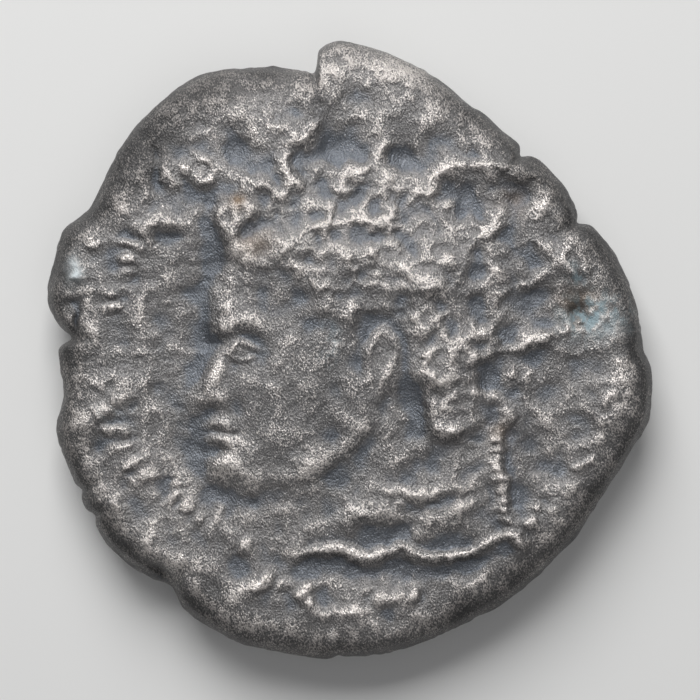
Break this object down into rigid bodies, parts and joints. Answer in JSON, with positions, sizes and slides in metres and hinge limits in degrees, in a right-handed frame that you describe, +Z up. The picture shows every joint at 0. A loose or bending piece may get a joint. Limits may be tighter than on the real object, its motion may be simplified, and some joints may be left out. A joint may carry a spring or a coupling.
{
  "type": "struck coin",
  "caption": "Worn struck tetradrachm with a draped, radiate head in relief and a bird on the reverse, lying portrait side up.",
  "frame": {"origin": "centre of the coin's bounding box, on the worn-flat tops of the reverse that it lies on", "axes": "+Z up through the portrait, +Y towards the top of the portrait, +X towards the back of the head"},
  "size_m": [0.0244, 0.025, 0.0041],
  "materials": {
    "toned_billon": "dull toned silver-grey metal, worn bright on the high points"
  },
  "bodies": {
    "root": {"coin": "toned_billon"}
  },
  "joints": []
}
